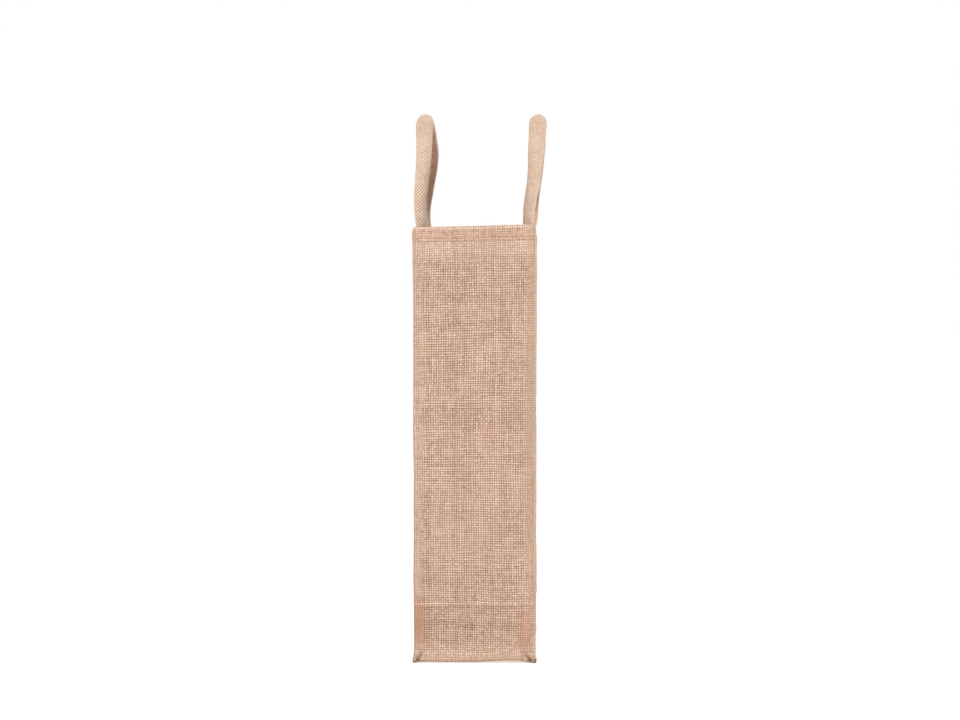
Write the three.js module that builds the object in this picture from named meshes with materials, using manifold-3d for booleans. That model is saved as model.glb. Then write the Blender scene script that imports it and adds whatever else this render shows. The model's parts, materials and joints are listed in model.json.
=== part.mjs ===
// A woven jute gift bag for two wine bottles that stand one behind the other.
//
// Frame: millimetres, +Z up, origin at the middle of the base's underside. X runs across the
// narrow face and Y along the wide one, and the front narrow face looks along -Y.
// Each cloth panel is a sheet with its seam allowances turned in and its top edge turned down
// as a hem. Pieces that touch are a small GAP apart.

import * as THREE from "three";
import { mergeVertices } from "three/addons/utils/BufferGeometryUtils.js";
import Module from "manifold-3d";

const wasm = await Module();
wasm.setup();

// ---- Driving dimensions -------------------------------------------------------------------
const BAG_WIDTH = 100; // X, across one bottle
const BAG_DEPTH = 200; // Y, along the two bottles
const BAG_HEIGHT = 360; // base to rim
const CLOTH = 1.4; // one layer of jute
const GAP = 0.3;

const HEM_DEPTH = 26;
const HEM_STITCH_DROP = 11; // stitch row below the rim
const SEAM_ALLOWANCE = 8;
const BASE_STITCH_INSET = 3.5; // from the walls' inner faces
const THREAD_WIDTH = 0.9;
const THREAD_RISE = 0.6; // how far a row of stitches stands off the cloth

const DIVIDER_HEIGHT = 280;
const DIVIDER_FLANGE = 10;
const DIVIDER_STITCH_FOOT = 12; // its row of stitches starts this far above the floor

const HANDLE_SPACING = 90; // between the two legs of one handle, along Y
const HANDLE_TOP = 463; // top of the loop above the floor
const HANDLE_DIAMETER = 14.5; // at the top of the loop
const STRAP_WIDTH = 21.5; // where the strap is sewn flat
const STRAP_THICKNESS = 3.4;
const LEG_WIDTH = 19.2; // where the padding starts
const LEG_THICKNESS = 8;
const WEBBING = 1.2; // wall of the handle's sleeve
const HINGE_RISE = 12; // the strap bends this far above the rim
const HINGE_OUT = 47.5; // distance of the bending line from the middle of the bag
const HINGE_EDGE = 0.5; // the strap is this thin beside the bending line, so that it can fold
const TAB_DEPTH = 40; // sewn end of the strap, below the rim
const FOOT_STITCH_SIZE = 18;
const RIGHT_HANDLE_LEAN = THREE.MathUtils.degToRad(3); // the right handle stands a little outwards

// ---- Derived places -----------------------------------------------------------------------
const halfWidth = BAG_WIDTH / 2;
const halfDepth = BAG_DEPTH / 2;
const wallFoot = CLOTH + GAP; // the walls stand on the base panel
const sideInner = halfWidth - CLOTH; // inner face of a wide panel
const narrowHalf = sideInner - GAP; // a narrow panel fits between the wide ones
const narrowInner = halfDepth - CLOTH; // inner face of a narrow panel
const flangeEnd = sideInner - SEAM_ALLOWANCE; // where the wide panels' turned-in edges end
const hemInner = sideInner - CLOTH; // inner face of a wide panel's hem
const tabOuter = hemInner - GAP;
const hingeZ = BAG_HEIGHT + HINGE_RISE;
const threadFace = halfWidth + GAP; // a row of stitches on a wide panel starts here

// ---- Solids -------------------------------------------------------------------------------
function box([x0, x1], [y0, y1], [z0, z1]) {
  const geometry = new THREE.BoxGeometry(Math.abs(x1 - x0), Math.abs(y1 - y0), Math.abs(z1 - z0));
  return geometry.translate((x0 + x1) / 2, (y0 + y1) / 2, (z0 + z1) / 2);
}

function solidOf(geometry) {
  const bare = geometry.clone();
  bare.deleteAttribute("normal");
  bare.deleteAttribute("uv");
  const merged = mergeVertices(bare, 1e-4);
  return new wasm.Manifold(
    new wasm.Mesh({
      numProp: 3,
      vertProperties: merged.attributes.position.array,
      triVerts: new Uint32Array(merged.index.array),
    }),
  );
}

function geometryOf(solid) {
  const mesh = solid.getMesh();
  const geometry = new THREE.BufferGeometry();
  geometry.setAttribute("position", new THREE.BufferAttribute(mesh.vertProperties, 3));
  geometry.setIndex(new THREE.BufferAttribute(mesh.triVerts, 1));
  geometry.computeVertexNormals();
  return geometry;
}

function union(geometries) {
  const [first, ...others] = geometries.map(solidOf);
  return geometryOf(others.reduce((sum, solid) => sum.add(solid), first));
}

function subtract(body, cuts) {
  return geometryOf(cuts.map(solidOf).reduce((rest, solid) => rest.subtract(solid), solidOf(body)));
}

// ---- Materials ----------------------------------------------------------------------------
const jute = new THREE.MeshStandardMaterial({ color: "#cfae97", roughness: 0.95, metalness: 0 });
const webbing = new THREE.MeshStandardMaterial({ color: "#dcc0a8", roughness: 0.9, metalness: 0 });
const stuffing = new THREE.MeshStandardMaterial({ color: "#e6ddcc", roughness: 1, metalness: 0 });
const thread = new THREE.MeshStandardMaterial({ color: "#e2cdb2", roughness: 0.7, metalness: 0 });

const bag = new THREE.Group();

function addTo(group, name, geometry, material) {
  const mesh = new THREE.Mesh(geometry, material);
  mesh.name = name;
  group.add(mesh);
}

// ---- Cloth panels -------------------------------------------------------------------------
// A narrow panel at the front (side -1) or rear (side 1), with its hem, and its bottom edge
// turned in over the base.
function narrowPanel(side) {
  const y = (distance) => side * distance;
  const hemHalf = flangeEnd - GAP; // the hem runs between the wide panels' turned-in edges
  const web = box([-narrowHalf, narrowHalf], [y(narrowInner), y(halfDepth)], [wallFoot, BAG_HEIGHT]);
  const hem = box(
    [-hemHalf, hemHalf],
    [y(narrowInner - CLOTH), y(narrowInner)],
    [BAG_HEIGHT - HEM_DEPTH, BAG_HEIGHT],
  );
  const bottomEdge = box(
    [-hemHalf, hemHalf],
    [y(narrowInner - SEAM_ALLOWANCE), y(narrowInner)],
    [wallFoot, wallFoot + CLOTH],
  );
  return union([web, hem, bottomEdge]);
}

// A wide panel at the left (side -1) or right (side 1), with its hem, its bottom edge turned in
// and its two upright edges turned in behind the narrow panels.
function widePanel(side) {
  const x = (distance) => side * distance;
  const reach = narrowInner - GAP;
  const lining = reach - CLOTH - GAP; // the bottom edge stops short of the narrow panels'
  const web = box([x(sideInner), x(halfWidth)], [-halfDepth, halfDepth], [wallFoot, BAG_HEIGHT]);
  const hem = box([x(hemInner), x(sideInner)], [-reach, reach], [BAG_HEIGHT - HEM_DEPTH, BAG_HEIGHT]);
  const bottomEdge = box(
    [x(flangeEnd), x(sideInner)],
    [-lining, lining],
    [wallFoot, wallFoot + CLOTH],
  );
  const uprightEdges = [-1, 1].map((end) =>
    box([x(flangeEnd), x(sideInner)], [end * (reach - CLOTH), end * reach], [wallFoot, BAG_HEIGHT]),
  );
  return union([web, hem, bottomEdge, ...uprightEdges]);
}

// The partition between the bottles, with its two upright edges turned along the wide panels
// and its top edge hemmed.
function divider() {
  const foot = wallFoot + CLOTH + 2 * GAP + THREAD_RISE + GAP;
  const web = box([-narrowHalf, narrowHalf], [-CLOTH / 2, CLOTH / 2], [foot, DIVIDER_HEIGHT]);
  const hem = box(
    [-narrowHalf, narrowHalf],
    [CLOTH / 2, CLOTH * 1.5],
    [DIVIDER_HEIGHT - HEM_DEPTH, DIVIDER_HEIGHT],
  );
  const flanges = [-1, 1].map((end) =>
    box(
      [end * (narrowHalf - CLOTH), end * narrowHalf],
      [CLOTH / 2, DIVIDER_FLANGE],
      [foot, DIVIDER_HEIGHT],
    ),
  );
  return union([web, hem, ...flanges]);
}

addTo(bag, "front_panel", narrowPanel(-1), jute);
addTo(bag, "rear_panel", narrowPanel(1), jute);
addTo(bag, "left_panel", widePanel(-1), jute);
addTo(bag, "right_panel", widePanel(1), jute);
addTo(bag, "base_panel", box([-halfWidth, halfWidth], [-halfDepth, halfDepth], [0, CLOTH]), jute);
addTo(bag, "divider_panel", divider(), jute);

// ---- Stitching ----------------------------------------------------------------------------
// A closed row of stitches that follows a rectangle seen from above.
function threadRing(innerHalfX, innerHalfY, z, height) {
  const outline = (halfX, halfY) => [
    new THREE.Vector2(-halfX, -halfY),
    new THREE.Vector2(halfX, -halfY),
    new THREE.Vector2(halfX, halfY),
    new THREE.Vector2(-halfX, halfY),
  ];
  const ring = new THREE.Shape(outline(innerHalfX + THREAD_RISE, innerHalfY + THREAD_RISE));
  ring.holes.push(new THREE.Path(outline(innerHalfX, innerHalfY)));
  const geometry = new THREE.ExtrudeGeometry(ring, { depth: height, bevelEnabled: false });
  return geometry.translate(0, 0, z);
}

// The box of stitches with a cross in it that holds one end of a handle, drawn in (y, z) round
// its middle and laid on a wide panel.
function footStitch(side, y, z) {
  const half = FOOT_STITCH_SIZE / 2;
  const frameInner = half - THREAD_WIDTH;
  const tip = THREAD_WIDTH * Math.SQRT1_2; // the cross takes this much off each window's corners
  const arm = frameInner - tip;
  const frame = new THREE.Shape([
    new THREE.Vector2(-half, -half),
    new THREE.Vector2(half, -half),
    new THREE.Vector2(half, half),
    new THREE.Vector2(-half, half),
  ]);
  for (let quarter = 0; quarter < 4; quarter++) {
    const corners = [
      new THREE.Vector2(0, tip),
      new THREE.Vector2(arm, frameInner),
      new THREE.Vector2(-arm, frameInner),
    ];
    const turn = (quarter * Math.PI) / 2;
    frame.holes.push(new THREE.Path(corners.map((c) => c.rotateAround(new THREE.Vector2(), turn))));
  }
  const geometry = new THREE.ExtrudeGeometry(frame, { depth: THREAD_RISE, bevelEnabled: false });
  geometry.rotateX(Math.PI / 2).rotateZ((side * Math.PI) / 2); // its face then looks along side * X
  return geometry.translate(side * threadFace, y, z);
}

const hemRowZ = BAG_HEIGHT - HEM_STITCH_DROP - THREAD_WIDTH / 2;
const hemRow = threadRing(threadFace, halfDepth + GAP, hemRowZ, THREAD_WIDTH);
addTo(bag, "hem_thread", hemRow, thread);

const baseRowTop = wallFoot + CLOTH + GAP;
const inset = BASE_STITCH_INSET + THREAD_RISE;
const baseRow = threadRing(sideInner - inset, narrowInner - inset, baseRowTop, THREAD_RISE);
addTo(bag, "base_thread", baseRow, thread);

// The seams of the four upright corners are sewn through the turned-in edges.
const cornerRowFoot = baseRowTop + 2 * THREAD_RISE;
for (const [sideX, sideName] of [[-1, "left"], [1, "right"]]) {
  for (const [sideY, endName] of [[-1, "front"], [1, "rear"]]) {
    const x = sideX * (flangeEnd + SEAM_ALLOWANCE / 2);
    const face = narrowInner - CLOTH - 2 * GAP;
    const seam = box(
      [x - THREAD_WIDTH / 2, x + THREAD_WIDTH / 2],
      [sideY * (face - THREAD_RISE), sideY * face],
      [cornerRowFoot, BAG_HEIGHT - HEM_STITCH_DROP],
    );
    addTo(bag, `corner_thread_${endName}_${sideName}`, seam, thread);
  }
}

for (const [side, sideName] of [[-1, "left"], [1, "right"]]) {
  const y = (CLOTH / 2 + DIVIDER_FLANGE) / 2;
  const row = box(
    [side * threadFace, side * (threadFace + THREAD_RISE)],
    [y - THREAD_WIDTH / 2, y + THREAD_WIDTH / 2],
    [DIVIDER_STITCH_FOOT, DIVIDER_HEIGHT - SEAM_ALLOWANCE],
  );
  addTo(bag, `divider_thread_${sideName}`, row, thread);
}

// ---- Handles ------------------------------------------------------------------------------
const HINGE_CLEARANCE = 1; // the strap stops this far from the bending line on both sides
const WEDGE = 12.5; // length over which the loop opens from the fold to its padded leg
const TAB_WEDGE = 5;
const LEG_LENGTH = 25; // the legs are straight this far above the bending line
const LEG_PULL = 41; // how far the arch keeps to the leg's direction
const CROWN_PULL = 30.6; // how far it keeps to the crown's
const halfSpacing = HANDLE_SPACING / 2;
const crownZ = HANDLE_TOP - hingeZ - HANDLE_DIAMETER / 2; // middle of the loop at its top

// The sewn end of a strap: flat against the hem inside the bag, then over the rim's line and
// thinned towards the fold. The outline is (distance outwards, height) from the bending line.
function tab(side, y) {
  const outer = tabOuter - HINGE_OUT;
  const inner = outer - STRAP_THICKNESS;
  const half = STRAP_THICKNESS / 2;
  const foldFoot = -HINGE_CLEARANCE - TAB_WEDGE;
  const rim = -HINGE_RISE;
  const outline = [
    [outer, -TAB_DEPTH + rim],
    [outer, rim + GAP],
    [half, foldFoot],
    [HINGE_EDGE / 2, -HINGE_CLEARANCE],
    [-HINGE_EDGE / 2, -HINGE_CLEARANCE],
    [-half, foldFoot],
    [inner, rim],
    [inner, -TAB_DEPTH + rim],
  ];
  const shape = new THREE.Shape(outline.map(([u, v]) => new THREE.Vector2(side * u, v)));
  const geometry = new THREE.ExtrudeGeometry(shape, { depth: STRAP_WIDTH, bevelEnabled: false });
  geometry.rotateX(Math.PI / 2); // the outline's height is now along Z, its depth along -Y
  return geometry.translate(side * HINGE_OUT, y + STRAP_WIDTH / 2, hingeZ);
}

// The middle line of one loop above the bending line, in the plane x = 0.
function loopPath() {
  const at = (y, z) => new THREE.Vector3(0, y, z);
  const rise = [
    at(-halfSpacing, LEG_LENGTH),
    at(-halfSpacing, LEG_LENGTH + LEG_PULL),
    at(-CROWN_PULL, crownZ),
  ];
  const fall = rise.map(({ y, z }) => at(-y, z)).reverse();
  const middle = new THREE.CurvePath();
  middle.add(new THREE.LineCurve3(at(-halfSpacing, HINGE_CLEARANCE), rise[0]));
  middle.add(new THREE.CubicBezierCurve3(...rise, at(0, crownZ)));
  middle.add(new THREE.CubicBezierCurve3(at(0, crownZ), ...fall));
  middle.add(new THREE.LineCurve3(fall[2], at(halfSpacing, HINGE_CLEARANCE)));
  return middle;
}

const path = loopPath();
const pathLength = path.getLength();

// Half sizes of the loop's outer surface, in its own plane and across it. It opens from the
// fold to the flattened leg, and from there to the round top.
function outerSize(distance) {
  const { lerp, smoothstep } = THREE.MathUtils;
  const fromEnd = Math.min(distance, pathLength - distance);
  const open = Math.min(fromEnd / WEDGE, 1);
  const round = smoothstep(fromEnd, WEDGE, pathLength * 0.4);
  const flatIn = lerp(STRAP_WIDTH, LEG_WIDTH, open);
  const flatAcross = lerp(HINGE_EDGE, LEG_THICKNESS, open);
  return [lerp(flatIn, HANDLE_DIAMETER, round) / 2, lerp(flatAcross, HANDLE_DIAMETER, round) / 2];
}

// A closed tube round the path through the given distances. sizeAt gives its half sizes, and
// offsetAt moves it off the middle line, in the loop's plane and outwards.
function sweep(distances, sides, sizeAt, offsetAt = () => 0) {
  const points = [];
  const across = new THREE.Vector3(1, 0, 0);
  for (const distance of distances) {
    const tangent = path.getTangentAt(distance / pathLength);
    const middle = path.getPointAt(distance / pathLength);
    const outwards = new THREE.Vector3().crossVectors(across, tangent);
    const [halfIn, halfAcross] = sizeAt(distance);
    for (let k = 0; k < sides; k++) {
      const angle = (2 * Math.PI * k) / sides;
      const u = Math.cos(angle) * halfIn + offsetAt(distance);
      const v = Math.sin(angle) * halfAcross;
      points.push(middle.clone().addScaledVector(outwards, u).addScaledVector(across, v));
    }
  }
  const index = [];
  const last = (distances.length - 1) * sides;
  for (let ring = 0; ring < last; ring += sides) {
    for (let k = 0; k < sides; k++) {
      const [a, b] = [ring + k, ring + ((k + 1) % sides)];
      index.push(a, b, a + sides, b, b + sides, a + sides);
    }
  }
  for (let k = 1; k < sides - 1; k++) {
    index.push(0, k + 1, k);
    index.push(last, last + k, last + k + 1);
  }
  const geometry = new THREE.BufferGeometry().setFromPoints(points);
  geometry.setIndex(index);
  geometry.computeVertexNormals();
  return geometry;
}

const evenly = (from, to, steps) =>
  Array.from({ length: steps + 1 }, (_, i) => THREE.MathUtils.lerp(from, to, i / steps));

const LOOP_SIDES = 12;
const LOOP_STEPS = 28;
const SLIT_WIDTH = 0.8;
const CORE_FROM = WEDGE + 1.5; // the padding starts this far along the loop
const padded = evenly(WEDGE, pathLength - WEDGE, LOOP_STEPS);
const stuffed = evenly(CORE_FROM, pathLength - CORE_FROM, LOOP_STEPS);

// The webbing round the padding, with the slit where its two edges meet inside the loop.
function sleeve() {
  const innerSize = (distance) => outerSize(distance).map((half) => half - WEBBING);
  const slitSize = () => [WEBBING * 1.5, SLIT_WIDTH / 2];
  const slitOffset = (distance) => -(outerSize(distance)[0] - WEBBING / 2);
  const hollow = sweep(padded, LOOP_SIDES, innerSize);
  const slit = sweep(padded, 4, slitSize, slitOffset);
  return subtract(sweep([0, ...padded, pathLength], LOOP_SIDES, outerSize), [hollow, slit]);
}

function core() {
  const size = (distance) => outerSize(distance).map((half) => half - WEBBING - 2 * GAP);
  return sweep(stuffed, LOOP_SIDES, size);
}

// The row of stitches over the slit.
function sleeveThread() {
  const size = () => [THREAD_RISE / 2, THREAD_WIDTH / 2];
  const offset = (distance) => -(outerSize(distance)[0] + GAP + THREAD_RISE / 2);
  return sweep(stuffed, 4, size, offset);
}

// Each handle: two sewn ends on the bag, and a loop that swings about the line where the strap
// folds. The loop's pieces are in a group with its origin on that line.
for (const [side, sideName, lean] of [[-1, "left", 0], [1, "right", RIGHT_HANDLE_LEAN]]) {
  for (const [end, endName] of [[-1, "front"], [1, "rear"]]) {
    const y = end * halfSpacing;
    const stitchZ = BAG_HEIGHT - TAB_DEPTH + STRAP_WIDTH / 2;
    addTo(bag, `handle_${sideName}_${endName}_tab`, tab(side, y), webbing);
    addTo(bag, `foot_thread_${sideName}_${endName}`, footStitch(side, y, stitchZ), thread);
  }
  const loop = new THREE.Group();
  loop.position.set(side * HINGE_OUT, 0, hingeZ);
  loop.rotation.y = side * lean;
  bag.add(loop);
  addTo(loop, `handle_${sideName}_sleeve`, sleeve(), webbing);
  addTo(loop, `handle_${sideName}_core`, core(), stuffing);
  addTo(loop, `handle_${sideName}_seam_thread`, sleeveThread(), thread);
}

export default bag;
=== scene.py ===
"""The looks of a woven jute gift bag for two wine bottles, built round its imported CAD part.

Everything is in metres in the part's own frame: +Z up, X across the narrow face, Y along the
wide one, and the front narrow face looks along -Y.
"""

import json
import math

import bpy
import numpy as np
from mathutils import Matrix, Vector, noise


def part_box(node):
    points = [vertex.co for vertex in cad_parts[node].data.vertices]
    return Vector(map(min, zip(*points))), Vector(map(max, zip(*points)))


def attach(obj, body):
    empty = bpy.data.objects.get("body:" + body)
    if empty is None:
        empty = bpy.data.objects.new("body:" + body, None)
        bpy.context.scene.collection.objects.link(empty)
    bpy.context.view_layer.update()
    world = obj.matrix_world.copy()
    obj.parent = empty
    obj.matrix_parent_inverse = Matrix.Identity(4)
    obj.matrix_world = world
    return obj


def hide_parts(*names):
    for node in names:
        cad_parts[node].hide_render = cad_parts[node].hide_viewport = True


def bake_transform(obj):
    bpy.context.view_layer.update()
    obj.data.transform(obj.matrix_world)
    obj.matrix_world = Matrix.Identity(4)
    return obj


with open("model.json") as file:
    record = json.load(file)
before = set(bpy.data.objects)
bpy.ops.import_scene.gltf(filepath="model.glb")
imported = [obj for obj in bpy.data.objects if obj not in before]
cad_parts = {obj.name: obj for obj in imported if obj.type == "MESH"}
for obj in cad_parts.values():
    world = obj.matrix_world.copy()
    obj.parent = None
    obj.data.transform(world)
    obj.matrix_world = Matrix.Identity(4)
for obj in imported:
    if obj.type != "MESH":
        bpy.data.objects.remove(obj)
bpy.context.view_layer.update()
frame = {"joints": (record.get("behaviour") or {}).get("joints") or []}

MM = 0.001

# ---- Places taken from the CAD part ----
HALF_X, HALF_Y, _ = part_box("base_panel")[1]
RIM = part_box("front_panel")[1].z
HEM_ROW_Z = sum(corner.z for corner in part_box("hem_thread")) / 2
HINGES = {joint["child"]: Vector(joint["pos_m"]) for joint in frame["joints"]}
DIVIDER_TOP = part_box("divider_panel")[1].z
DIVIDER_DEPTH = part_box("divider_panel")[1].y

# ---- Cloth ----
CLOTH = 1.3 * MM  # thickness of one layer
HEM = 26 * MM  # depth of the turned-in hem
CORNER = 2.2 * MM  # outer radius of the bag's edges
GROOVE = 0.45 * MM  # radius where two panels dive into their seam
SEAM_DIVE = 2.2 * MM
FOLD = 1.45 * MM  # outer radius of the hem's fold
HEM_INNER = 2 * FOLD  # the hem's inner layer is this far in from the wall's face
YARN = 1.95 * MM  # pitch of the jute's yarns
HANDLE_YARN = 2.15 * MM  # pitch of the yarns in the handles' cloth
ALLOWANCE = 8 * MM  # doubled cloth behind a seam
BASE_ALLOWANCE = 15 * MM


# ---- Camera, world, lights and floor ----
AZIMUTH = math.radians(1.8)
LENS = 89.5
CAMERA_DISTANCE = 2.072
CAMERA_HEIGHT = 0.2499
CAMERA_ASIDE = 1.8 * MM


def add_object(name, data):
    added = bpy.data.objects.new(name, data)
    bpy.context.collection.objects.link(added)
    return added


def make_camera():
    data = bpy.data.cameras.new("camera")
    data.lens = LENS
    data.clip_end = 20
    camera = add_object("camera", data)
    away = Vector((math.sin(AZIMUTH), -math.cos(AZIMUTH), 0))
    right = Vector((math.cos(AZIMUTH), math.sin(AZIMUTH), 0))
    camera.location = away * CAMERA_DISTANCE + right * CAMERA_ASIDE
    camera.location.z = CAMERA_HEIGHT
    camera.rotation_euler = (math.radians(90), 0, AZIMUTH)
    bpy.context.scene.camera = camera


def make_area_light(name, position, aim, size, power):
    data = bpy.data.lights.new(name, "AREA")
    data.shape = "DISK"
    data.size = size
    data.energy = power
    light = add_object(name, data)
    light.location = position
    light.rotation_euler = (Vector(aim) - Vector(position)).to_track_quat("-Z", "Y").to_euler()


def make_studio():
    world = bpy.data.worlds.new("studio")
    bpy.context.scene.world = world
    world.use_nodes = True
    background = world.node_tree.nodes["Background"]
    background.inputs["Color"].default_value = (1, 1, 1, 1)
    background.inputs["Strength"].default_value = 1.0
    middle = (0, 0, 0.25)
    make_area_light("key", (-1.2, -2.3, 1.8), middle, 1.2, 8)
    make_area_light("fill", (1.3, -2.3, 1.0), middle, 1.6, 6)
    make_area_light("top", (0.3, 0.1, 2.8), middle, 2.0, 12)
    bpy.context.scene.view_settings.view_transform = "Standard"

    bpy.ops.mesh.primitive_plane_add(size=30, location=(0, 0, -0.4 * MM))
    floor = bpy.context.object
    floor.name = "floor"
    g = Graph("floor_white")
    x, y = g.place_on_floor()
    dust = g.cloud(x / 0.3, y / 0.3, detail=2.0)
    g.surface(g.blend(dust + 0.5, (0.74, 0.74, 0.74, 1), (0.76, 0.76, 0.76, 1)), 0.9)
    g.shader.inputs["Specular IOR Level"].default_value = 0.0
    g.shader.inputs["Emission Color"].default_value = (1, 1, 1, 1)
    g.shader.inputs["Emission Strength"].default_value = 0.5
    floor.data.materials.append(g.material)


# ---- Shader maths ----
class Number:
    """One number in a shader graph, so that its maths reads as plain maths."""

    def __init__(self, graph, socket):
        self.graph = graph
        self.socket = socket

    def __add__(self, other):
        return self.graph.math("ADD", self, other)

    def __sub__(self, other):
        return self.graph.math("SUBTRACT", self, other)

    def __mul__(self, other):
        return self.graph.math("MULTIPLY", self, other)

    def __truediv__(self, other):
        return self.graph.math("DIVIDE", self, other)

    def __rsub__(self, other):
        return self.graph.math("SUBTRACT", other, self)

    __radd__ = __add__
    __rmul__ = __mul__


class Graph:
    """A material and the calls that build its node graph."""

    def __init__(self, name):
        self.material = bpy.data.materials.new(name)
        self.material.use_nodes = True
        self.tree = self.material.node_tree
        self.shader = self.tree.nodes["Principled BSDF"]

    def node(self, kind, inputs=None, **settings):
        node = self.tree.nodes.new(kind)
        for key, value in settings.items():
            setattr(node, key, value)
        for key, value in (inputs or {}).items():
            self.feed(node.inputs[key], value)
        return node

    def feed(self, socket, value):
        if isinstance(value, Number):
            self.tree.links.new(value.socket, socket)
        elif isinstance(value, bpy.types.NodeSocket):
            self.tree.links.new(value, socket)
        else:
            socket.default_value = value

    def math(self, operation, *values):
        node = self.node("ShaderNodeMath", operation=operation)
        for socket, value in zip(node.inputs, values):
            self.feed(socket, value)
        return Number(self, node.outputs[0])

    def step_between(self, value, low, high):
        """0 below low, 1 above high, smooth between."""
        node = self.node(
            "ShaderNodeMapRange",
            {"Value": value, "From Min": low, "From Max": high},
            interpolation_type="SMOOTHSTEP",
        )
        return Number(self, node.outputs["Result"])

    def split(self, vector):
        node = self.node("ShaderNodeSeparateXYZ", {"Vector": vector})
        return [Number(self, node.outputs[axis]) for axis in "XYZ"]

    def position(self):
        """The two numbers of the UV map."""
        return self.split(self.node("ShaderNodeUVMap", uv_map="cloth").outputs["UV"])[:2]

    def place_on_floor(self):
        return self.split(self.node("ShaderNodeNewGeometry").outputs["Position"])[:2]

    def state(self):
        """The three numbers of the mesh's state, which each material reads in its own way."""
        return self.split(self.node("ShaderNodeAttribute", attribute_name="state").outputs["Vector"])

    def vector(self, x, y, z=0.0):
        return self.node("ShaderNodeCombineXYZ", {"X": x, "Y": y, "Z": z}).outputs[0]

    def cloud(self, x, y, z=0.0, detail=1.0):
        """Smooth noise, about -0.5 to 0.5."""
        inputs = {"Vector": self.vector(x, y, z), "Scale": 1.0, "Detail": detail, "Roughness": 0.5}
        return Number(self, self.node("ShaderNodeTexNoise", inputs).outputs["Fac"]) - 0.5

    def dice(self, x, y):
        """A random number from 0 to 1 for each pair of whole numbers."""
        node = self.node("ShaderNodeTexWhiteNoise", {"Vector": self.vector(x, y)})
        node.noise_dimensions = "2D"
        return Number(self, node.outputs["Value"])

    def blend(self, factor, first, second):
        node = self.node("ShaderNodeMix", data_type="RGBA")
        self.feed(node.inputs["Factor"], factor)
        self.feed(node.inputs[6], first)
        self.feed(node.inputs[7], second)
        return node.outputs[2]

    def relief(self, height, depth, strength):
        bump = self.node("ShaderNodeBump", {"Height": height, "Distance": depth})
        bump.inputs["Strength"].default_value = strength
        self.feed(self.shader.inputs["Normal"], bump.outputs["Normal"])

    def surface(self, colour, roughness, sheen=0.0):
        self.feed(self.shader.inputs["Base Color"], colour)
        self.shader.inputs["Roughness"].default_value = roughness
        self.shader.inputs["Specular IOR Level"].default_value = 0.18
        self.shader.inputs["Sheen Weight"].default_value = sheen
        self.shader.inputs["Sheen Roughness"].default_value = 0.5


def linear(red, green, blue):
    """An sRGB colour, 0 to 255, as a shader colour."""

    def one(value):
        value /= 255
        return value / 12.92 if value <= 0.04045 else ((value + 0.055) / 1.055) ** 2.4

    return (one(red), one(green), one(blue), 1)


# ---- Materials ----
def cells(g, across, along):
    """Which column and row of yarns a place is in, and how far it is from their middles."""
    column, row = g.math("FLOOR", across), g.math("FLOOR", along)
    return column, row, across - column - 0.5, along - row - 0.5


def yarn_surface(g, index, off, length, half, sign, seed):
    """The height of one set of yarns, very low beside a yarn, and the streaks on them. off is how
    far a place is from its yarn's middle, and length how far along the yarn it is."""
    ratio = off / half
    crown = g.math("SQRT", g.math("MAXIMUM", 1 - ratio * ratio, 0.0))
    wave = g.math("COSINE", (length - 0.5 + index) * math.pi) * (0.4 * sign)
    streaks = g.cloud(off * 7.0 + index * 5.0, length * 0.8, seed, detail=2.0)
    return wave + crown * 0.5 + g.math("LESS_THAN", crown, 0.01) * -3.0, streaks


def upper_yarn(g, warp, weft, lowest):
    """The height and the tone of what lies on top, warp and weft being (height, tone) too."""
    warp_on_top = g.math("GREATER_THAN", warp[0], weft[0])
    height = g.math("MAXIMUM", g.math("MAXIMUM", warp[0], weft[0]), lowest)
    return height, warp[1] * warp_on_top + weft[1] * (1 - warp_on_top)


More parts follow.
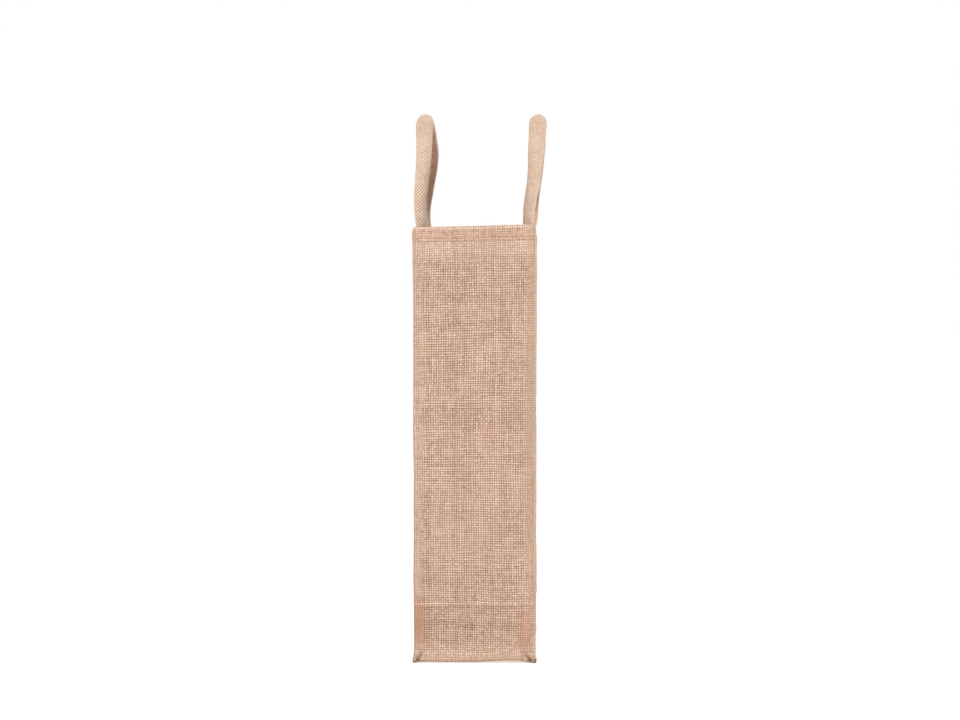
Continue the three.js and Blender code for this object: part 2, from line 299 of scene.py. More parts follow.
def jute_material(name, seed):
    """Plain-weave jute, from the UV map in metres: uneven yarns with slubs, and the gaps between
    them painted dark as shade. The mesh's state says where cloth behind fills the gaps, where folds
    are rubbed pale, where the cloth is darker, most of it painted shade in creases, pinches and
    along the foot, and where it is redder. What is added to the seed keeps the noises apart."""
    g = Graph(name)
    u, v = g.position()
    x, y = u / YARN, v / YARN
    doubled, wear_and_shade, rosy = g.state()

    # The yarns wander: slowly as whole bands, and each a little by itself.
    across = x + g.cloud(x * 0.05, y * 0.03, seed) * 1.6
    across = across + g.cloud(x * 0.7, y * 0.12, seed + 5) * 0.5
    along = y + g.cloud(x * 0.03, y * 0.05, seed + 9) * 1.8
    along = along + g.cloud(x * 0.12, y * 0.7, seed + 13) * 0.5
    column, row, off_column, off_row = cells(g, across, along)

    def yarn(index, off, length, shift, sign, half):
        """The height of one set of yarns and its tone."""
        chance = g.dice(index, seed + shift)
        slub = g.cloud(index * 3.7, length * 0.16, seed + shift, detail=2.0)
        half = half + chance * 0.05 + slub * 0.34
        height, streaks = yarn_surface(g, index, off, length, half, sign, seed + shift)
        knot = g.step_between(slub, 0.2, 0.34)
        return height, (chance - 0.5) * 0.16 + slub * 0.35 + streaks * 0.9 + knot * 0.15

    warp = yarn(column, off_column, along, 31, 1, 0.34)
    weft, weft_tone = yarn(row, off_row, across, 57, -1, 0.28)
    # Rows of weft differ in bands, as the yarn comes from different spools.
    weft_tone = weft_tone + g.cloud(row * 0.16, 0.0, seed + 71) * 0.45
    height, tone = upper_yarn(g, warp, (weft, weft_tone), -1.0)
    tone = tone + (g.math("MINIMUM", g.dice(column + seed * 7.0, row), 0.6) - 0.42) * 0.5

    patch = g.cloud(u / 0.03, v / 0.045, seed + 80, detail=2.0)
    # The negative part of the state's second number darkens the cloth, most of it painted shade in
    # creases, pinches and along the foot.
    crease_shade = g.math("MINIMUM", wear_and_shade, 0.0)
    brightness = g.step_between(tone * 0.58 + patch * 0.2 + wear_and_shade * 0.3 + 0.55, 0.0, 1.0)
    straw = g.blend(brightness, linear(150, 115, 94), linear(233, 203, 183))
    hue = g.cloud(u / 0.02, v / 0.03, seed + 90) + g.cloud(column * 0.9, along * 0.05, seed + 93) * 0.5
    hue = hue + rosy
    redness = g.step_between(hue, 0.0, 0.4) * 0.4 + g.math("MAXIMUM", rosy - 0.4, 0.0) * 0.3
    straw = g.blend(redness, straw, linear(198, 148, 124))
    straw = g.blend(g.step_between(hue, -0.05, -0.35) * 0.35, straw, linear(200, 178, 142))
    # Painted shade: deep places get less light, and the gaps are painted as the shaded inside of the
    # bag, lighter where cloth lies behind them.
    valley_shade = g.blend(doubled, linear(122, 88, 68), linear(170, 132, 108))
    colour = g.blend(g.step_between(height, -0.1, 0.7), valley_shade, straw)
    gap_shade = g.blend(doubled, linear(70, 42, 28), linear(144, 106, 84))
    # Painted shade: where the state is dark, more of the dark gaps open.
    opening = g.step_between(height + crease_shade * 0.6, -0.5, 0.1)
    shut = g.dice(g.math("ROUND", across) + seed * 3.0, g.math("ROUND", along)) * 0.32
    colour = g.blend(opening + (1 - opening) * shut, gap_shade, colour)
    # Painted shade, most of it: where the state is dark, the cloth is darkened towards brown.
    colour = g.blend(crease_shade * -0.35, colour, linear(128, 86, 58))
    g.surface(colour, 0.92, sheen=0.1)
    g.relief(height, 0.4 * MM, 0.6)
    return g.material


def webbing_material():
    """The handles' cloth: plain weave cut on the bias. The mesh's state says where the inside of the
    loop is painted darker as shade, and where the weave is loose, near the rim, with its yarns
    painted paler there as painted light."""
    g = Graph("handle_jute")
    u, v = g.position()
    inside, loose, _ = g.state()
    pitch = HANDLE_YARN * math.sqrt(2)
    x = (u + v) / pitch + g.cloud(u / 0.02, v / 0.02, 3.0) * 1.2
    y = (v - u) / pitch + g.cloud(u / 0.02, v / 0.02, 4.0) * 1.2
    column, row, off_column, off_row = cells(g, x, y)

    def yarn(index, off, length, sign):
        half = 0.38 - loose * 0.06 - inside * 0.1
        half = half + g.cloud(index * 3.7, length * 0.3, 20.0 + sign) * 0.34
        return yarn_surface(g, index, off, length, half, sign, 9.0 + sign)

    warp, weft = yarn(column, off_column, y, 1), yarn(row, off_row, x, -1)
    height, tone = upper_yarn(g, warp, weft, -0.6)
    tone = tone + (g.dice(column, row) - 0.5) * 0.3
    brightness = g.step_between(tone * 0.6 + g.cloud(u / 0.02, v / 0.02, 9.0) * 0.4 + 0.5, 0.0, 1.0)
    tight = g.blend(brightness, linear(184, 153, 131), linear(226, 202, 182))
    # Painted light: near the rim the loose weave's yarns are painted paler.
    pale = g.blend(brightness, linear(200, 168, 144), linear(246, 219, 197))
    straw = g.blend(loose, tight, pale)
    # Painted shade: the inside of the loop is painted dark brown.
    shaded_inside = g.blend(brightness, linear(120, 82, 62), linear(216, 172, 144))
    straw = g.blend(inside, straw, shaded_inside)
    # Painted shade in the deep places, darker where the weave is loose and on the inside of the loop.
    valley_shade = g.blend(loose, linear(168, 136, 113), linear(88, 60, 42))
    valley_shade = g.blend(inside, valley_shade, linear(40, 24, 18))
    colour = g.blend(g.step_between(height, -0.3, 0.55), valley_shade, straw)
    g.surface(colour, 0.88, sheen=0.1)
    g.relief(height, 0.3 * MM, 0.5)
    return g.material


def twist_material(name, pale, dark, pitch):
    """Twisted strands: thread and cord. The UV map's first number runs along the strand, in
    metres, and its second once round it."""
    g = Graph(name)
    u, v = g.position()
    turn = g.math("PINGPONG", u / pitch + v * 2.0, 0.5) * 2
    fuzz = g.cloud(u / (0.4 * MM), v * 8.0, 2.0, detail=2.0)
    ridge = g.step_between(turn, 0.0, 0.7)
    # Painted shade: the grooves between the twists are darker.
    colour = g.blend(g.step_between(ridge + fuzz * 0.8, 0.0, 1.1), dark, pale)
    g.surface(colour, 0.75, sheen=0.1)
    g.relief(ridge + fuzz * 0.3, 0.15 * MM, 0.6)
    return g.material


# ---- Meshes ----
PLAIN = (0.0, 0.0, 0.0)


class Patches:
    """Several grids that make one mesh. uvs has a pair, in metres, for each corner of each face,
    and states has the three numbers that the materials read at each point."""

    def __init__(self):
        self.points, self.faces, self.uvs, self.states = [], [], [], []

    def grid(self, points, uvs, states=None, closed=False):
        """points[row][column] and so on. Faces look along column x row. closed joins the last
        column to the first, and uvs then has one more column than points."""
        rows, columns = len(points), len(points[0])
        start = len(self.points)
        for line in points:
            self.points.extend(line)
        for line in states or [[PLAIN] * columns] * rows:
            self.states.extend(line)
        for r in range(rows - 1):
            for c in range(columns if closed else columns - 1):
                d = (c + 1) % columns
                corners = ((r, c, c), (r, d, c + 1), (r + 1, d, c + 1), (r + 1, c, c))
                self.faces.append([start + i * columns + j for i, j, _ in corners])
                self.uvs.extend(uvs[i][k] for i, _, k in corners)
        return start

    def tube(self, rings, uvs, states=None, end_uvs=((0.0, 0.0), (0.0, 0.0))):
        """Rings of points joined into a tube, with one face over each end."""
        sides = len(rings[0])
        first = self.grid(rings, uvs, states, closed=True)
        last = first + (len(rings) - 1) * sides
        ends = (range(first + sides - 1, first - 1, -1), range(last, last + sides))
        for end, uv in zip(ends, end_uvs):
            self.faces.append(list(end))
            self.uvs.extend([uv] * sides)

    def piece(self, name, material):
        mesh = bpy.data.meshes.new(name)
        mesh.from_pydata(self.points, [], self.faces)
        layer = mesh.uv_layers.new(name="cloth")
        layer.data.foreach_set("uv", np.asarray(self.uvs, np.float32).ravel())
        mesh.polygons.foreach_set("use_smooth", [True] * len(self.faces))
        values = mesh.attributes.new("state", "FLOAT_VECTOR", "POINT")
        values.data.foreach_set("vector", np.asarray(self.states, np.float32).ravel())
        mesh.materials.append(material)
        return add_object(name, mesh)


def thicken(piece):
    """Gives a sheet the cloth's thickness, inwards from its outer face."""
    solid = piece.modifiers.new("thickness", "SOLIDIFY")
    solid.thickness = CLOTH
    solid.offset = -1
    solid.use_even_offset = False
    graph = bpy.context.evaluated_depsgraph_get()
    mesh = bpy.data.meshes.new_from_object(
        piece.evaluated_get(graph), preserve_all_data_layers=True, depsgraph=graph
    )
    piece.modifiers.clear()
    piece.data = mesh
    return piece


def running_lengths(line):
    """Distance along a list of points, from its first one."""
    lengths = [0.0]
    for first, second in zip(line, line[1:]):
        lengths.append(lengths[-1] + math.dist(first, second))
    return lengths


def turns(sides):
    """The angles of the points of a ring."""
    return [2 * math.pi * k / sides for k in range(sides)]


def smooth_step(value, low, high):
    share = min(max((value - low) / (high - low), 0.0), 1.0)
    return share * share * (3 - 2 * share)


def bell(value, middle, width):
    return math.exp(-(((value - middle) / width) ** 2))


# ---- The bag's form ----
class Wall:
    """An upright panel. A point on it is across (a), outwards (n) and up (z)."""

    def __init__(self, name, across, outwards, half, distance, corners):
        self.name = name
        self.across = Vector(across)
        self.outwards = Vector(outwards)
        self.half = half
        self.narrow = half == HALF_X
        self.origin = self.outwards * distance
        self.corners = corners


WALLS = {
    "front": Wall("front", (1, 0, 0), (0, -1, 0), HALF_X, HALF_Y, ("front_left", "front_right")),
    "right": Wall("right", (0, 1, 0), (1, 0, 0), HALF_Y, HALF_X, ("front_right", "rear_right")),
    "rear": Wall("rear", (-1, 0, 0), (0, 1, 0), HALF_X, HALF_Y, ("rear_right", "rear_left")),
    "left": Wall("left", (0, -1, 0), (-1, 0, 0), HALF_Y, HALF_X, ("rear_left", "front_left")),
}
# How far each upright edge is drawn in at half height, spread at the base, and raised at the
# rim, in millimetres.
EDGE_PINCH = {"front_left": -0.1, "front_right": 0.6, "rear_right": 0.8, "rear_left": 0.6}
EDGE_FLARE = {"front_left": 0.6, "front_right": 1.4, "rear_right": -0.5, "rear_left": 1.0}
EDGE_RISE = {"front_left": 0.3, "front_right": 1.9, "rear_right": 0.7, "rear_left": 0.9}
BOTTLE_BOW = {"left": 2.1 * MM, "right": 1.3 * MM}  # a wide panel bows out over each bottle
RIM_BOW = {"left": 0.7 * MM, "right": -0.7 * MM}  # the handle draws its rim further out or in
NARROW_BOW = 0.9 * MM
DENT = 3.2 * MM  # how far the noise may press a wide panel in
EDGE_WOBBLE = 0.5 * MM
CREASE_Z = 48.7 * MM  # where the bag was folded flat
CREASE_WANDER = 1.8 * MM
EAR_HEIGHT = 16 * MM  # how far up the pinches at the lower corners reach
FOOTING_PLACE = 63.27  # where the noise is read that lifts the lower edge
# Where the noises are read that move the cloth along X, Y and Z.
RIPPLE_PLACES = [Vector((x, 7.1, 4.4)) for x in (93.2, 60.8, 36.0)]


def edge_shift(corner, z):
    """How far an upright edge is out of its plain place at this height."""
    side = -1 if corner.endswith("left") else 1
    end = -1 if corner.startswith("front") else 1
    waist = EDGE_PINCH[corner] * math.sin(math.pi * min(z / RIM, 1.0)) * MM
    wobble = noise.noise(Vector((z * 14, side * 3.1, end * 5.7))) * EDGE_WOBBLE
    flare = EDGE_FLARE[corner] * MM * bell(z, 0.0, 5 * MM)
    rise = EDGE_RISE[corner] * MM * smooth_step(z, 0.5 * RIM, RIM)
    return Vector((side * (flare - waist + wobble), end * (flare - waist * 0.5), rise))


def bow(wall, a, z):
    """How far a panel stands out of its plane."""
    share = 1 - (a / wall.half) ** 2
    from_base = smooth_step(z, 0.0, 70 * MM)
    if wall.narrow:
        return NARROW_BOW * share * from_base
    dent = DENT * min(noise.noise(Vector((a * 11, z * 8, wall.across.y * 5))), 0.0)
    y = a * wall.across.y
    held = 1 - smooth_step(z, DIVIDER_TOP, DIVIDER_TOP + 40 * MM)
    seam = bell(y, DIVIDER_DEPTH / 2, 15 * MM) * held
    out = BOTTLE_BOW[wall.name] + RIM_BOW[wall.name] * smooth_step(z, DIVIDER_TOP, RIM)
    out = out * (1 - 0.85 * seam) + dent * (1 - smooth_step(z, 0.75 * RIM, 0.9 * RIM))
    return out * min(1.6 * share, 1.0) * from_base


def is_left(wall, a):
    """Whether a place on a narrow panel is on the left, seen from the front."""
    return a * wall.across.x < 0


def crease_level(wall, a):
    """The height of the fold across a panel."""
    return CREASE_Z + noise.noise(Vector((a * 30, 0, wall.half * 90))) * CREASE_WANDER


def ear_line(wall, a, z):
    """Where the pinch at a lower corner runs: its distance from the edge, its width, which grows
    upwards, and how far up it z is."""
    slope = 0.42 if is_left(wall, a) else 0.7
    return 2.6 * MM + slope * z, 1.1 * MM + 0.15 * z, z / EAR_HEIGHT


def creases(wall, a, z):
    """The fold across the panel and the pinches at its lower corners."""
    edge = wall.half - abs(a)
    inside = smooth_step(edge, 0.0, 6 * MM)
    strength = 1.0 if wall.narrow else 0.5
    level = crease_level(wall, a)
    ridge = 0.7 * bell(z, level, 1.6 * MM) - 0.25 * bell(z, level - 3.6 * MM, 2.4 * MM)
    line, width, reach = ear_line(wall, a, z)
    pinch = 2.0 * bell(edge, line, width) * (1 - smooth_step(reach, 0.1, 1.1))
    puff = 1.2 * bell(edge, line + 3.4 * MM, 2.4 * MM) * (1 - smooth_step(reach, 0.4, 1.1))
    ear = 0.5 * bell(edge, line - 2.4 * MM, 1.4 * MM) * (1 - smooth_step(reach, 0.4, 1.1))
    return (ridge * inside + (puff + ear - pinch) * smooth_step(edge, 0.0, 1.5 * MM)) * strength * MM


def ripple(point):
    """Soft unevenness of the cloth, the same for panels that meet. It is made of single noises,
    because noise_vector gives other values each time Blender starts."""
    slow = [noise.noise(point * 11 + shift) * 0.9 for shift in RIPPLE_PLACES]
    fine = [noise.noise(point * 38 + shift) * 0.28 for shift in RIPPLE_PLACES]
    return (Vector(slow) + Vector(fine)) * MM


def footing(x, y):
    """How far the lower edge is off the floor: the bag stands on its corners, and here and there
    between them."""
    from_corner = max(HALF_X - abs(x), HALF_Y - abs(y))
    wave = 0.5 + 1.8 * noise.noise(Vector((x * 24, y * 24, FOOTING_PLACE)))
    return max(wave, 0.0) * MM * smooth_step(from_corner, 3 * MM, 14 * MM)


def place(wall, a, n, z):
    """The place of a point of the wall, with all that bends it."""
    share = (a / wall.half + 1) / 2
    first, second = (edge_shift(corner, z) for corner in wall.corners)
    shift = first.lerp(second, min(max(share, 0.0), 1.0))
    plain = wall.origin + wall.across * a + Vector((0, 0, z))
    still = smooth_step(z, 0.0, 12 * MM)
    out = bow(wall, a, z) + creases(wall, a, z)
    lift = footing(plain.x, plain.y) * (1 - still)
    return plain + wall.outwards * (n + out) + shift + ripple(plain) * still + Vector((0, 0, lift))


# ---- Panels ----
def edge_outline():
    """How a panel goes round an edge of the bag and into the seam: pairs of (from the edge,
    outwards), from the end in the seam to the flat part."""
    diagonal = CORNER * (1 - math.sqrt(0.5))
    dive = math.sqrt(0.5)
    out = [
        (diagonal + SEAM_DIVE * dive, -diagonal - SEAM_DIVE * dive),
        (diagonal + GROOVE * dive, -diagonal - GROOVE * dive),
        (diagonal + GROOVE * 0.25, -diagonal - GROOVE * 0.1),
    ]
    for degrees in (38, 30, 20, 10, 0):
        angle = math.radians(degrees)
        out.append((CORNER * (1 - math.sin(angle)), -CORNER * (1 - math.cos(angle))))
    return out


def between(start, end, step):
    """Evenly spaced values from start towards end, without the end."""
    count = max(1, round(abs(end - start) / step))
    return [start + (end - start) * i / count for i in range(count)]


def edge_to_edge(half, flat):
    """A section from one edge of the bag to the other, by way of the flat places: (a, n)."""
    start = [(-half + d, n) for d, n in edge_outline()]
    return start + [(a, 0.0) for a in flat] + [(-a, n) for a, n in reversed(start)]


# How far apart a panel's points are: along the rim, where it bends, and elsewhere.
FINEST = 0.5 * MM
FINE = 0.85 * MM
COARSE = 2.4 * MM
EDGE_ZONE = 12 * MM  # the fine part beside an upright edge


def across_outline(half):
    """A panel's section from edge to edge: (a, n, a along the hem's inner layer)."""
    flat = between(-half + CORNER, -half + EDGE_ZONE, FINE)[1:]
    flat += between(-half + EDGE_ZONE, half - EDGE_ZONE, COARSE)
    flat += between(half - EDGE_ZONE, half - CORNER, FINE)
    inner = half - HEM_INNER
    squeeze = inner / (half - 0.6 * CORNER)
    limit = inner - 0.1 * MM
    return [(a, n, min(max(a * squeeze, -limit), limit)) for a, n in edge_to_edge(half, flat)]


def wall_rows():
    """A panel's section from base seam to raw edge: (n, z, share of the hem's inner layer)."""
    rows = [(n, d, 0.0) for d, n in edge_outline()]
    levels = between(CORNER, 16 * MM, FINE)[1:] + between(16 * MM, CREASE_Z - 7 * MM, COARSE)
    levels += between(CREASE_Z - 7 * MM, CREASE_Z + 5 * MM, FINE)
    levels += between(CREASE_Z + 5 * MM, HEM_ROW_Z - 3 * MM, COARSE)
    levels += between(HEM_ROW_Z - 3 * MM, RIM - FOLD, FINEST)
    rows += [(0.0, z, 0.0) for z in levels]
    for degrees in range(0, 181, 22):
        angle = math.radians(degrees)
        share = (1 - math.cos(angle)) / 2
        rows.append((0.0, RIM - FOLD + FOLD * math.sin(angle), share))
    for z in between(RIM - FOLD, RIM - HEM, 1.3 * MM)[1:]:
        rows.append((0.0, z, 1.0))
    rows.append((0.0, RIM - HEM, 1.0))
    return rows


def hem_relief(wall, a, z, inner):
    """How the hem puffs between its stitches, and how its raw edge hangs free inside."""
    pulled = -0.4 * bell(z, HEM_ROW_Z, 1.1 * MM)
    puffed = 0.3 * bell(z, RIM - 5.5 * MM, 4 * MM)
    wave = 1.3 + 0.9 * noise.noise(Vector((a * 45, wall.half, 3)))
    loose = wave * smooth_step(HEM_ROW_Z - z, 0.0, HEM)
    return (pulled + puffed) * MM * (1 - 2 * inner) - inner * loose * MM


# Where the cloth has dark rows: below the rim, and beside the hem's stitches.
RIM_LINES = (3.9 * MM, 5.7 * MM)
STITCH_LINES = (-1.1 * MM, 1.1 * MM)


def cloth_doubled(wall, a, z):
    """1 where there is more cloth behind the panel, 0 where there is none."""
    ragged = noise.noise(Vector((a * 60, z * 60, 4))) * 3 * MM
    edge = wall.half - abs(a)
    width = ALLOWANCE if wall.narrow else 0.3 * ALLOWANCE
    upright = 1 - smooth_step(edge + 0.5 * ragged, width - 1.5 * MM, width + 1.5 * MM)
    hem = smooth_step(z + ragged, RIM - HEM - 4 * MM, RIM - HEM + 5 * MM)
    base = 1 - smooth_step(z + ragged, BASE_ALLOWANCE - 2 * MM, BASE_ALLOWANCE + 4 * MM)
    return max(upright, 0.7 * hem, 0.6 * base, 1 - smooth_step(z, 5 * MM, 9 * MM))


def cloth_wear_and_shade(wall, a, z, inner):
    """Above 0 where the cloth is paler: folds rubbed pale, the hem's band and a band low down.
    Below 0 where it is darker: painted shade in creases, under the fold, in the corner pinches and
    along the foot, and also dark rows, darker strips and a darker patch.
    """
    edge = wall.half - abs(a)
    wear_and_shade = 0.6 * smooth_step(z, RIM - 3.2 * MM, RIM - 1.5 * MM) * (1 - inner)
    wear_and_shade += 0.25 * smooth_step(z, RIM - HEM, RIM - HEM + 4 * MM) * (1 - inner)
    for drop in RIM_LINES:
        wear_and_shade -= 0.5 * bell(z, RIM - drop, 0.55 * MM)
    for beside in STITCH_LINES:
        wear_and_shade -= 0.75 * bell(z, HEM_ROW_Z + beside, 0.5 * MM)
    # Paler low on the panel; painted shade along the foot, where the bag meets the floor.
    wear_and_shade += 0.25 * bell(z, 6 * MM, 9 * MM) - 2.6 * bell(z, 0.0, 1.2 * MM)
    # The fold across the panel is rubbed pale, with painted shade just below it.
    level = crease_level(wall, a)
    rubbed = 0.5 + 0.7 * noise.noise(Vector((a * 70, 5, wall.half * 90)))
    wear_and_shade += rubbed * bell(z, level, 1.2 * MM) - 0.3 * bell(z, level - 2.4 * MM, 1.2 * MM)
    # Painted shade in the pinches at the lower corners.
    line, width, reach = ear_line(wall, a, z)
    wear_and_shade -= bell(edge, line, width) * (1 - smooth_step(reach, 0.0, 0.8))
    on_left = is_left(wall, a)
    # Darker over the red patch at the lower left corner.
    if on_left:
        wear_and_shade -= 0.5 * bell(edge, 3 * MM, 6 * MM) * bell(z, 32 * MM, 16 * MM)
    # The doubled strips beside the upright seams are darker, the right one more, and painted shade
    # darkens the middle of a narrow panel low down.
    if wall.narrow:
        strip = 1 - smooth_step(edge, ALLOWANCE - 2 * MM, ALLOWANCE + 1 * MM)
        wear_and_shade -= (0.04 if on_left else 0.16) * strip
        wear_and_shade -= 0.12 * bell(z, 38 * MM, 20 * MM) * (1 - strip)
    return wear_and_shade


def cloth_rosy(wall, a, z):
    """Patches of redder cloth, most of them where several layers lie over each other."""
    edge = wall.half - abs(a)
    if is_left(wall, a):
        patches = bell(edge, 3 * MM, 6 * MM) * bell(z, 32 * MM, 16 * MM)
    else:
        patches = 0.9 * bell(edge, 9 * MM, 4 * MM) * bell(z, 28 * MM, 14 * MM)
        patches += 0.7 * bell(edge, 3 * MM, 3 * MM) * bell(z, 60 * MM, 12 * MM)
        patches -= 0.5 * bell(edge, 3 * MM, 4 * MM) * smooth_step(z, 70 * MM, 110 * MM)
    patches *= 1 + 1.1 * noise.noise(Vector((a * 110, z * 110, wall.half * 90)))
    return patches + 0.25 * bell(z, RIM - 7.6 * MM, 1.6 * MM) - 0.4 * bell(z, 0.0, 6 * MM)


def cloth_state(wall, a, z, inner):
    return (cloth_doubled(wall, a, z), cloth_wear_and_shade(wall, a, z, inner), cloth_rosy(wall, a, z))


def wall_sheet(name, wall, material):
    section = across_outline(wall.half)
    rows = wall_rows()
    across_length = running_lengths([(a, n) for a, n, _ in section])
    middle = across_length[-1] / 2
    up_length = running_lengths([(n - HEM_INNER * share, z) for n, z, share in rows])
    start = up_length[len(edge_outline()) - 1] - CORNER
    points, uvs, states = [], [], []
    for (row_n, z, share), length in zip(rows, up_length):
        line = []
        for a, n, a_inner in section:
            here = a + (a_inner - a) * share
            out = (n + row_n) * (1 - share) - HEM_INNER * share
            out += hem_relief(wall, here, z, share) * smooth_step(z, RIM - 2 * HEM, RIM - 1.2 * HEM)
            line.append(place(wall, here, out, z))
        points.append(line)
        uvs.append([(s - middle, length - start) for s in across_length])
        states.append([cloth_state(wall, a, z, share) for a, _, _ in section])
    patches = Patches()
    patches.grid(points, uvs, states)
    if not wall.narrow:
        for corner in wall.corners:
            turned_edge(patches, wall, corner)
    return thicken(patches.piece(name, material))


def turned_edge(patches, wall, corner):
    """A wide panel's upright edge, turned in behind the narrow panel at this corner of the bag."""
    narrow = WALLS[corner.split("_")[0]]
    side = -1 if corner == narrow.corners[0] else 1
    top = RIM - HEM + 3 * MM
    points, uvs = [], []
    for z in between(4 * MM, top, COARSE) + [top]:
        ragged = noise.noise(Vector((z * 300, side, narrow.origin.y))) * 0.4 * MM
        line, line_uvs = [], []
        for step in (0.0, 0.3, 0.6, 0.85, 1.0):
            a = side * (narrow.half - CLOTH - (ALLOWANCE + ragged) * step)
            line.append(place(narrow, a, -CLOTH - 0.15 * MM - 0.8 * MM * step**2, z))
            line_uvs.append((ALLOWANCE * step, z))
        points.append(line[::-side])
        uvs.append(line_uvs[::-side])
    patches.grid(points, uvs)


def base_sheet(material):
    """The base: flat on the floor, and round its edges into the seam."""
    columns, rows = (
        edge_to_edge(half, between(-half + CORNER, half - CORNER, COARSE)[1:])
        for half in (HALF_X, HALF_Y)
    )
    points, uvs = [], []
    for y, y_drop in rows:
        end = "front" if y < 0 else "rear"
        line = []
        for x, x_drop in columns:
            share = min(max((x / HALF_X + 1) / 2, 0.0), 1.0)
            flare = edge_shift(f"{end}_left", 0.0).lerp(edge_shift(f"{end}_right", 0.0), share)
            inside = smooth_step(min(HALF_X - abs(x), HALF_Y - abs(y)), 3 * MM, 25 * MM)
            arch = 0.5 * MM * (1 + noise.noise(Vector((x * 30, y * 30, 8)))) * inside
            arch += footing(x, y) * (1 - inside)
            line.append(Vector((x, y, arch - (x_drop + y_drop))) + flare * abs(y / HALF_Y))
        points.append(line[::-1])
        uvs.append([(-x, y) for x, _ in columns][::-1])
    patches = Patches()
    patches.grid(points, uvs)
    return thicken(patches.piece("base_cloth", material))


DIVIDER_HEM = 20 * MM


def divider_place(a, n, z):
    """The partition sways a little between the bottles."""
    hold = 1 - (a / HALF_X) ** 2
    sway = noise.noise(Vector((a * 14, 2.0, z * 9))) * 5 * MM * hold * smooth_step(z, 0, 60 * MM)
    drop = -3.0 * MM * hold * smooth_step(z, 0.6 * DIVIDER_TOP, DIVIDER_TOP)
    return Vector((a, n + sway, z + drop))


def divider_sheet(material):
    """The partition between the bottles, hemmed at its top, with its upright edges turned along
    the wide panels."""
    top_fold = CLOTH * 1.05
    reach = HALF_X - CLOTH - 1.0 * MM
    section = [(-reach, DIVIDER_DEPTH), (-reach, DIVIDER_DEPTH * 0.6), (-reach, 2.5 * MM)]
    section += [(-reach + 0.4 * MM, 1.0 * MM), (-reach + 1.8 * MM, 0.0)]
    section += [(a, 0.0) for a in between(-reach + 4 * MM, reach - 4 * MM, COARSE)]
    section += [(-a, n) for a, n in reversed(section[:5])]
    lengths = running_lengths(section)
    rows = [(0.0, z) for z in between(4.5 * MM, DIVIDER_TOP - top_fold, COARSE)]
    for degrees in range(0, 181, 30):
        angle = math.radians(degrees)
        drop = top_fold * (1 - math.sin(angle))
        rows.append((top_fold * (1 - math.cos(angle)), DIVIDER_TOP - drop))
    for z in between(DIVIDER_TOP - 4 * MM, DIVIDER_TOP - DIVIDER_HEM, COARSE):
        rows.append((2 * top_fold + 0.4 * MM, z))
    heights = running_lengths(rows)
    points, uvs = [], []
    for (row_n, z), height in zip(rows, heights):
        flat = [min(max(a, -reach + 2 * row_n), reach - 2 * row_n) for a, _ in section]
        points.append([divider_place(a, n + row_n, z) for a, (_, n) in zip(flat, section)])
        uvs.append([(length, height) for length in lengths])
    patches = Patches()
    hems = [smooth_step(z, DIVIDER_TOP - 24 * MM, DIVIDER_TOP - 18 * MM) for _, z in rows]
    patches.grid(points, uvs, [[(0.6 * hem, 0.0, 0.0)] * len(section) for hem in hems])
    return thicken(patches.piece("divider_cloth", material))


# ---- Stitches ----
STITCH = 3.0 * MM
STITCH_PITCH = 3.5 * MM
THREAD = 0.8 * MM
SUNK = -0.05 * MM  # how far out from a panel's face its stitches lie


class Run:
    """A line on a surface, measured along its length."""

    def __init__(self, points, normals):
        self.points, self.normals = points, normals
        self.lengths = running_lengths(points)
        self.length = self.lengths[-1]

    def at(self, distance):
        i = int(np.clip(np.searchsorted(self.lengths, distance) - 1, 0, len(self.points) - 2))
        share = (distance - self.lengths[i]) / (self.lengths[i + 1] - self.lengths[i])
        point = self.points[i].lerp(self.points[i + 1], share)
        return point, self.normals[i].lerp(self.normals[i + 1], share).normalized()


def add_stitch(patches, run, start, length, sides=7, rings=7):
    """One stitch: a short thread that comes out of the cloth and goes back in."""
    points, uvs = [], []
    for k in range(rings):
        share = k / (rings - 1)
        arch = math.sin(math.pi * share)
        point, normal = run.at(start + length * share)
        ahead, _ = run.at(start + length * share + 0.1 * MM)
        along = (ahead - point).normalized()
        aside = along.cross(normal).normalized()
        centre = point + normal * THREAD * (0.75 * arch - 0.42)
        radius = THREAD / 2 * (0.45 + 0.55 * math.sqrt(arch))
        spokes = [aside * math.cos(angle) + normal * math.sin(angle) for angle in turns(sides)]
        points.append([centre + spoke * radius for spoke in spokes])
        uvs.append([(start + length * share, i / sides) for i in range(sides + 1)])
    patches.tube(points, uvs, end_uvs=((start, 0.0), (start + length, 0.0)))


def stitches(name, runs, material, pitch=STITCH_PITCH, length=STITCH):
    patches = Patches()
    for index, run in enumerate(runs):
        count = max(1, int(run.length / pitch))
        spare = (run.length - count * pitch) / 2
        for i in range(count):
            uneven = noise.noise(Vector((i * 1.7, index * 3.3, 0.5))) * 0.25 * MM
            add_stitch(patches, run, spare + i * pitch + uneven, length + uneven)
    return patches.piece(name, material)


def wall_run(wall, start, end, n, facing=1):
    """A straight run between two (a, z) places on a wall."""
    steps = max(2, round(math.dist(start, end) / (2 * MM)))
    points = []
    for i in range(steps + 1):
        a, z = (first + (last - first) * i / steps for first, last in zip(start, end))
        points.append(place(wall, a, n, z))
    return Run(points, [wall.outwards * facing] * len(points))


def hem_stitches(material):
    """The row through the hem, outside and inside."""
    runs = []
    pull = -0.35 * MM
    for wall in WALLS.values():
        reach = wall.half - 4 * MM
        for half, n, facing in ((reach, pull, 1), (reach - HEM_INNER, -HEM_INNER - pull, -1)):
            runs.append(wall_run(wall, (-half, HEM_ROW_Z), (half, HEM_ROW_Z), n, facing))
    return stitches("hem_stitches", runs, material)


